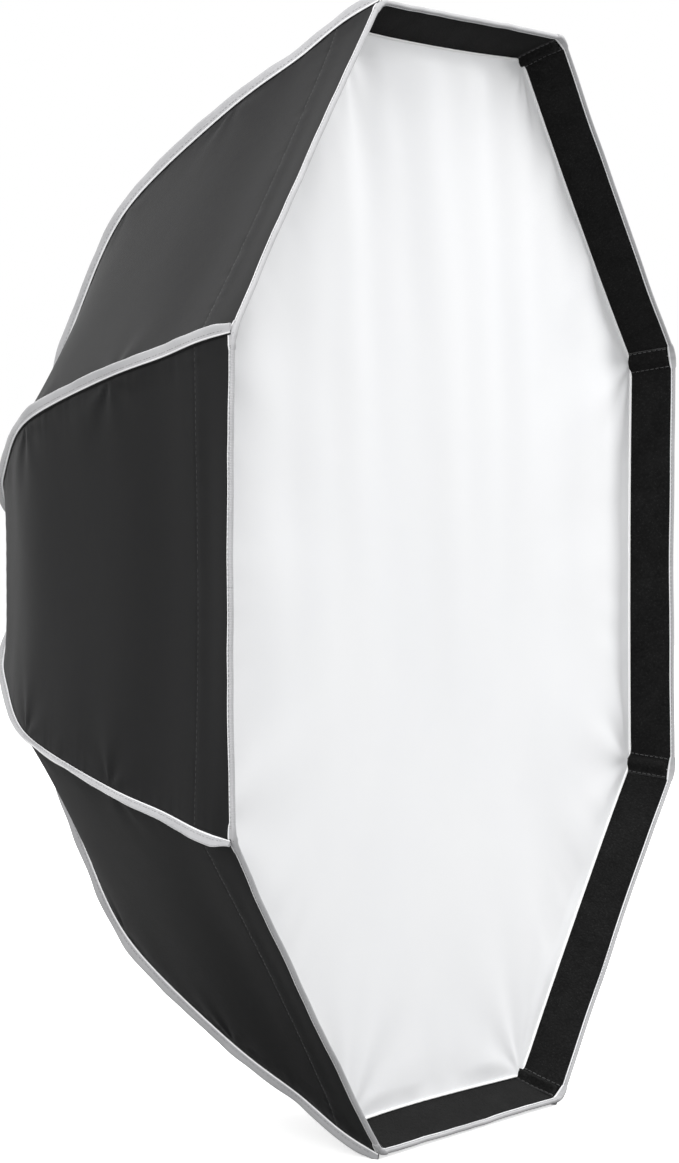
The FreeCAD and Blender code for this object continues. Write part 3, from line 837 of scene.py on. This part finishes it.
def seam_binding(rib, turn):
    rows = steps(330)
    run = np.linspace(0.006, SEAM_LENGTH - 0.0022, rows)
    point, direction = profile(run)
    base = world(point[:, 0], point[:, 1], 0, turn)
    forward = world(direction[:, 0], direction[:, 1], 0, turn)
    normal = world(direction[:, 1], -direction[:, 0], 0, turn)
    sideways = world(0, 0, 1, turn)
    place = stack(run, rib * 0.73, 0)

    mean, wander = LEAN[rib]
    lean = np.radians(np.interp(run, STATIONS, mean)
                      + wander * wobble(place, seed=31, low=2.5, high=9, count=10)
                      + 4 * wobble(place, seed=32, low=18, high=45, count=10))[:, None]
    rim_taper = 0.45 if rib == 5 else 0.2
    taper = ((0.68 + 0.32 * smooth(run, 0.0, 0.06))
             * (1 - rim_taper * smooth(run, SEAM_LENGTH - 0.022, SEAM_LENGTH - 0.002)))
    height = (SEAM_TAPE_HEIGHT * np.interp(run, STATIONS, TALL.get(rib, [1.0] * 5)) * taper
              * (1 + 0.05 * wobble(place, seed=33, low=20, high=60, count=10)))
    scale = (height / SECTION_HEIGHT)[:, None]
    up = np.cos(lean) * normal + np.sin(lean) * sideways
    side = -np.sin(lean) * normal + np.cos(lean) * sideways
    curl = 0.0007 * wobble(place, seed=34, low=10, high=40, count=12)

    bend = (SEAM_SECTION[None, :, 0] / SECTION_HEIGHT) ** 2 * curl[:, None]
    rings = (base[:, None, :] + up[:, None, :] * (SEAM_SECTION[None, :, 0] * scale)[..., None]
             + side[:, None, :] * (SEAM_SECTION[None, :, 1] + bend)[..., None])
    build = Build()
    build.tube(rings, stack(arc_lengths(SEAM_SECTION)[None, :], run[:, None]),
               tape_slots(rows, SEAM_SECTION, SEAM_PAINTED_HIGHLIGHT_FACES))
    rings = (base[:, None, :] + up[:, None, :] * (ALLOWANCE[None, :, 0] * scale)[..., None]
             + side[:, None, :] * ALLOWANCE[None, :, 1, None])
    build.tube(rings, stack(ALLOWANCE[None, :, 0], run[:, None]), mat=2, cap_mat=2)
    # stitches through the tape on both faces
    count = int((SEAM_LENGTH - 0.02) / TAPE_PITCH)
    for j in np.searchsorted(run, np.linspace(0.012, SEAM_LENGTH - 0.012, count)):
        middle = base[j] + up[j] * 0.0034 * scale[j, 0]
        for sign in (1, -1):
            build.stitch(middle + side[j] * (sign * 0.00066 + curl[j] * 0.16), forward[j],
                         side[j] * sign, TAPE_STITCH, mat=3)
    # slot 1 is the painted highlight on the tape's edges and fold
    piece = build.make("seam_binding_%d" % rib, [TAPE, TAPE_PAINTED_HIGHLIGHT, NYLON, GREY_THREAD])
    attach(piece, "rib_%d" % rib)


# ------------------------------------------ pockets that hold the rib tips
def corner_pocket(rib, turn):
    start, end = DIFFUSER_RUN - 0.0035, SEAM_LENGTH - 0.0066

    def surface(run, across):
        """across goes from -1 to 1 over the corner; the cloth bulges inwards over the rod."""
        point, direction = profile(run)
        bulge = ((0.0060 + 0.0008 * smooth(run, DIFFUSER_RUN, SEAM_LENGTH - 0.032))
                 * (1 - smooth(np.abs(across), 0.0, POCKET_FLAT))
                 * (0.04 + 0.96 * smooth(SEAM_LENGTH - run, 0.0062, 0.0100)))
        wrinkle = (0.0003 * wobble(stack(run, across * 0.01, rib * 0.5),
                                   seed=61, low=30, high=90, count=12)
                   * (1 - smooth(np.abs(across), POCKET_FLAT, 1.0)))
        z = across * POCKET_HALF_WIDTH
        # the two cloth planes drop away from the seam on either side of it
        inward = np.abs(z) * SIN * 0.93 + 0.0026 + bulge - wrinkle
        return world(point[..., 0] - direction[..., 1] * inward,
                     point[..., 1] + direction[..., 0] * inward, z * COS, turn)

    build = Build()
    across = np.concatenate([np.linspace(-1, -POCKET_FLAT, 4), np.linspace(-0.8, 0.8, 15),
                             np.linspace(POCKET_FLAT, 1, 4)])
    build.sheet(surface, np.linspace(start, end, 30), across, 0.0007,
                lambda run, across: stack(across * 0.01, run), edge=1)
    step = 1e-4
    count = int((end - start - 0.004) / 0.0034)
    for line in (-0.90, 0.90):
        for run in np.linspace(start + 0.003, end - 0.0015, count):
            forward = unit(surface(run + step, line) - surface(run - step, line))
            sideways = surface(run, line + 0.01) - surface(run, line - 0.01)
            normal = unit(np.cross(forward, sideways))
            build.stitch(surface(run, line) + normal * 0.0001, forward, normal, POCKET_STITCH)
    piece = build.make("corner_pocket_%d" % rib,
                       [LOOP, THREADS["charcoal_folded_edge"], THREADS["charcoal_thread"]])
    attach(piece, "rib_%d" % rib)


for rib, turn in RIBS:
    seam_binding(rib, turn)
for rib, turn in RIBS:
    corner_pocket(rib, turn)

# ------------------------------------------------------------ front diffuser
DIFFUSER_RADIUS = float(profile(DIFFUSER_RUN)[0][0]) - 0.0022       # at the corners


def lip_distance(turn, across):
    """Distance of the front sheet's edge along the turn, just inside the loop band."""
    lip = gore_surface(turn, lift=-0.0029)(across, DIFFUSER_RUN)
    cos, sin = math.cos(math.radians(turn)), math.sin(math.radians(turn))
    return lip[..., 0] * cos + lip[..., 2] * sin


def folds(x, z, turn):
    """Forward displacement of the hanging front sheet, in metres."""
    place = world(x, 0, z, turn)
    plane_x, plane_z = place[..., 0], place[..., 2]
    share = x / (DIFFUSER_RADIUS * COS)
    angle = np.arctan2(plane_z, plane_x)
    ring = stack(np.cos(angle), np.sin(angle), share * 0.12) * 0.45
    total = 0.0020 * (1 - share ** 2)
    total = total + (0.0012 * smooth(share, 0.35, 1.0)
                     * wobble(ring, seed=41, low=4.0, high=12.0, count=16))
    total = total + (0.0005 * smooth(share, 0.72, 1.0)
                     * wobble(ring, seed=42, low=14.0, high=34.0, count=16))
    # long folds hanging from the top edge
    hang = stack(plane_x + 0.10 * plane_z, plane_z * 0.10, 0)
    total = total + smooth(plane_z, -0.22, 0.30) * (
        0.0072 * wobble(hang, seed=43, low=4.5, high=11.0, count=12)
        + 0.0020 * wobble(hang, seed=45, low=12.0, high=26.0, count=12))
    # drag lines fanning from the corners
    for corner in range(8):
        bearing = math.radians(22.5 + 45 * corner)
        from_x = plane_x - DIFFUSER_RADIUS * math.cos(bearing)
        from_z = plane_z - DIFFUSER_RADIUS * math.sin(bearing)
        distance = np.hypot(from_x, from_z)
        fan = np.arctan2(-from_z, -from_x) - bearing
        fan = (fan + math.pi) % (2 * math.pi) - math.pi
        total = total + (0.0007 * bell(distance, 0.13) * np.cos(fan * 9 + corner * 1.7)
                         * smooth(distance, 0.0, 0.03))
    broad = wobble(stack(plane_x, plane_z, 0), seed=44, low=1.5, high=4.5, count=12)
    total = total + 0.0010 * broad * (1 - smooth(share, 0.9, 1.0))
    return total * (1 - smooth(share, 0.95, 0.995))


def front_surface(turn):
    """Surface (across, share) of the front sheet; share is 0 at the axis and 1 at the lip."""
    def surface(across, share):
        flat = DIFFUSER_RADIUS * COS
        room = (1 - np.abs(across)) * DIFFUSER_RADIUS * SIN
        to_lip = (lip_distance(turn, across) - flat) * share * smooth(share, 0.75, 1.0)
        round_pocket = (0.0059 * (1 - smooth(room / POCKET_HALF_WIDTH, 0.0, POCKET_FLAT))
                        * smooth(share, 0.93, 1.0))
        x = share * flat + to_lip - round_pocket
        z = across * x * TAN
        return world(x, DIFFUSER_DEPTH + folds(x, z, turn), z, turn)
    return surface


def disc_uv(radius):
    return lambda across, share: stack(across * share * radius * SIN, share * radius * COS)


def ride_runner(piece):
    """Carries a middle sheet on the runner."""
    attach(piece, "runner")
    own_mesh(piece)


def add_hem(build, surface, across, turn):
    """Rolled hem round the lip edge of the front sheet."""
    edge = surface(across, 1.0)
    edge[:, 1] = surface(across, 0.999)[:, 1]
    out = world(1.0, 0.0, 0.0, turn)
    forward = np.array([0.0, -1.0, 0.0])
    cos, sin = np.cos(ROLL)[None, :, None], np.sin(ROLL)[None, :, None]
    to_corner = (1 - np.abs(across)) * DIFFUSER_RADIUS * SIN
    slim = 0.35 + 0.65 * smooth(to_corner, 0.003, 0.012)[:, None, None]
    rings = (edge[:, None, :] + out * (0.0009 * cos - 0.0004) * slim
             + forward * (0.0012 * sin + 0.0009) * slim)
    uv = stack((across * DIFFUSER_RADIUS * SIN)[:, None], ROLL[None, :] * 0.001)
    normals = np.broadcast_to(out * cos + forward * sin, rings.shape)
    build.tube(rings, uv, mat=2, cap_mat=2, normals=normals, cap_normal=forward)


def front_diffuser(gore, side, turn):
    share = np.concatenate([np.linspace(CENTRE_SHARE, 0.93, steps(70)),
                            np.linspace(0.935, 1.0, steps(16))])
    across = half_grid(side, np.concatenate([np.linspace(0, 0.90, steps(41)),
                                             np.linspace(0.90, 1, 22)[1:]]))
    surface = front_surface(turn)
    build = Build()
    build.sheet(surface, across, share, CLOTH_SHEET, disc_uv(DIFFUSER_RADIUS), outer=1, edge=1)
    add_hem(build, surface, across, turn)
    piece = build.make("front_diffuser_%d%s" % (gore, side), [WHITE, BAFFLE, HEM],
                       custom_normals=True)
    bend_piece(piece, gore, side)
    if gore == 1 and side == "a":
        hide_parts("front_diffuser")


def front_centre(gore, turn):
    build = Build()
    build.sheet(front_surface(turn), np.linspace(-1, 1, steps(41)),
                np.linspace(0.0004, CENTRE_SHARE, steps(44)), CLOTH_SHEET,
                disc_uv(DIFFUSER_RADIUS), outer=1, edge=1)
    piece = build.make("front_diffuser_centre_%d" % gore, [WHITE, BAFFLE], custom_normals=True)
    ride_runner(piece)


def inner_diffuser(gore, turn):
    def surface(across, share):
        x = share * INNER_RADIUS * COS
        z = across * x * TAN
        ripple = 0.0008 * wobble(world(x, 0, z, turn), seed=51, low=3, high=12, count=12)
        return world(x, INNER_DEPTH + ripple, z, turn)

    build = Build()
    build.sheet(surface, np.linspace(-1, 1, steps(21)), np.linspace(0.0004, 1.0, steps(30)),
                CLOTH_SHEET, disc_uv(INNER_RADIUS))
    piece = build.make("inner_diffuser_%d" % gore, [BAFFLE], custom_normals=True)
    ride_runner(piece)
    if gore == 1:
        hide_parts("inner_diffuser")


for half_gore in HALF_GORES:
    front_diffuser(*half_gore)
for gore in range(1, 9):
    front_centre(gore, 45.0 * gore)
for gore in range(1, 9):
    inner_diffuser(gore, 45.0 * gore)


# ------------------------------------------------- neck skirt round the hub
def neck_skirt(rib, turn):
    hub_radius, hub_depth = 0.0868, 0.0132
    shell_radius, shell_depth = 0.0975, 0.0166      # at the rib

    def surface(around, share):
        """around is 0 on the rib and 1 on the next centre line; share is 0 at the hub."""
        angle = around * HALF_ANGLE
        edge_radius = shell_radius * COS / np.cos(HALF_ANGLE - np.abs(angle))
        radius = hub_radius + (edge_radius - hub_radius) * share
        free = np.sin(share * math.pi)
        gathers = (np.sin(around * math.pi * 7 + rib) * 0.0012
                   + np.sin(around * math.pi * 13) * 0.0004) * free
        slope = (shell_depth - hub_depth) * np.clip(share, 0, 1) ** 1.5
        depth = hub_depth + slope - 0.0028 * free + gathers
        bearing = np.radians(turn) + angle
        return stack(radius * np.cos(bearing), -depth, radius * np.sin(bearing))

    build = Build()
    build.sheet(surface, np.linspace(-1, 1, 61), np.linspace(0, 1, 13), 0.0009,
                lambda around, share: stack(around * 0.036, share * 0.012))
    piece = build.make("neck_skirt_%d" % rib, [NYLON])
    tuple(world(hub_radius, hub_depth, 0.0, turn))
    tuple(world(shell_radius, shell_depth, 0.0, turn))
    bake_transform(piece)
    if rib == 1:
        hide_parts("neck_skirt")


for rib, turn in RIBS:
    neck_skirt(rib, turn)


# ------------------------------------------- springs behind the release buttons
def button_spring(name, sign):
    coil_radius, wire_radius, length = 0.0019, 0.00035, 0.0122
    first_z, seat_z, centre_y = 0.06042, 0.06007, -0.0082
    full_angle = 10 * math.pi           # five turns
    angle = np.linspace(0, full_angle, steps(241))
    centre = stack(coil_radius * np.cos(angle), centre_y + coil_radius * np.sin(angle),
                   sign * (first_z + length * angle / full_angle))
    radial = stack(np.cos(angle), np.sin(angle), 0)
    across = np.cross(radial, unit(np.gradient(centre, axis=0)))
    rings = centre[:, None, :] + wire_radius * (
        radial[:, None, :] * np.cos(ROLL)[None, :, None]
        + across[:, None, :] * np.sin(ROLL)[None, :, None])
    build = Build()
    build.tube(rings, stack(angle[:, None] * coil_radius, ROLL[None, :] * wire_radius))
    piece = build.make("button_spring_%s" % name, [STEEL])
    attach(piece, "hub")
    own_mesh(piece)
    if name == "top":
        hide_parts("button_springs")


button_spring("top", 1)
button_spring("bottom", -1)

# --------------------------------------------------------- CAD node finishes
FINISHES = {
    "hub_body": PLASTIC, "runner_ring": PLASTIC,
    "hub_front_plate": BLACK_METAL, "stop_ring": BLACK_METAL,
    "hub_screws": STEEL, "guide_posts": STEEL, "stop_screws": STEEL,
    "adapter_screws": STEEL, "button_springs": STEEL, "grip_screws": STEEL,
    "mount_ring": ALUMINIUM,
    "runner_grips": RED, "release_button_top": RED, "release_button_bottom": RED,
}


def finish_of(name):
    """Material of a CAD piece, or None where it keeps its own."""
    if name in FINISHES:
        return FINISHES[name]
    if name.startswith(("rib_socket", "strut")):
        return BLACK_METAL
    return STEEL if name.startswith("rib_") else None


for name, part in frame["nodes"].items():
    finish = finish_of(name)
    if finish is not None:
        part.data.materials.clear()
        part.data.materials.append(finish)
        part.data.polygons.foreach_set("use_smooth", [True] * len(part.data.polygons))
        part.data.set_sharp_from_angle(angle=math.radians(32))


# ------------------------------------------------------ stage, light, camera
def mix_for_camera(tree, others, camera, output):
    """Shows one shader to the camera and another to all other rays."""
    path = add_node(tree, "ShaderNodeLightPath", {})
    mix = add_node(tree, "ShaderNodeMixShader", {
        "Fac": path.outputs["Is Camera Ray"], 1: others, 2: camera})
    fill(tree, tree.nodes[output], {"Surface": mix.outputs["Shader"]})


def floor_material():
    """Bright to the camera, but a dim grey in the light it throws back."""
    mat, tree, bsdf, _, place = new_material("studio_floor", {
        "Roughness": 0.9, "Specular IOR Level": 0.2,
        "Emission Color": (1, 1, 1, 1), "Emission Strength": 0.62})
    light = 0.95
    fill(tree, bsdf, {"Base Color": ramp(
        tree, noise(tree, place, scale=0.8), (0.3, grey(light * 0.985)), (0.7, grey(light)))})
    dim = add_node(tree, "ShaderNodeBsdfDiffuse", {"Color": (0.22, 0.22, 0.22, 1)})
    mix_for_camera(tree, dim.outputs["BSDF"], bsdf.outputs["BSDF"], "Material Output")
    return mat


def make_floor():
    half_x, half_y = 9, 7
    floor_z = CAD_BOX[0][2] - 0.004
    corners = [(-half_x, -half_y, floor_z), (half_x, -half_y, floor_z),
               (half_x, half_y, floor_z), (-half_x, half_y, floor_z)]
    make_mesh("studio_floor", corners, [(0, 1, 2, 3)], [floor_material()])


def make_world():
    studio = bpy.data.worlds.new("studio")
    scene.world = studio
    studio.use_nodes = True
    tree = studio.node_tree
    white = (1, 1, 1, 1)
    lighting = tree.nodes["Background"]
    fill(tree, lighting, {"Color": white, "Strength": 0.96})
    backdrop = add_node(tree, "ShaderNodeBackground", {"Color": white, "Strength": 1.0})
    mix_for_camera(tree, lighting.outputs["Background"], backdrop.outputs["Background"],
                   "World Output")


def aim(item, direction):
    item.rotation_mode = "QUATERNION"
    item.rotation_quaternion = direction.to_track_quat("-Z", "Y")


def disk_light(name, place, target, size, power):
    data = bpy.data.lights.new(name, "AREA")
    data.shape = "DISK"
    data.size = size
    data.energy = power
    light = bpy.data.objects.new(name, data)
    scene.collection.objects.link(light)
    light.location = place
    aim(light, Vector(target) - Vector(place))


def make_camera():
    data = bpy.data.cameras.new("camera")
    camera = bpy.data.objects.new("camera", data)
    scene.collection.objects.link(camera)
    scene.camera = camera
    heading, rise = math.radians(-65.234), math.radians(1.464)
    back = Vector((math.sin(heading) * math.cos(rise), -math.cos(heading) * math.cos(rise),
                   math.sin(rise)))
    camera.location = (-3.4957, -1.5001 - RIM_DEPTH, 0.0915)
    aim(camera, -back)
    data.sensor_width = 36.0
    data.lens = 156.8
    data.clip_start = 0.1
    data.clip_end = 60


scene = bpy.context.scene
make_floor()
scene.view_settings.view_transform = "Standard"
scene.view_settings.look = "None"
make_world()
disk_light("key_top", place=(-0.9, -0.6, 3.2), target=(0, -0.2, 0), size=2.6, power=62)
disk_light("front_fill", place=(2.9, -2.0, 1.5), target=(0, -0.3, 0), size=1.3, power=80)
disk_light("side_fill", place=(-3.6, -0.7, 0.8), target=(-0.1, -0.2, 0), size=2.4, power=72)
make_camera()
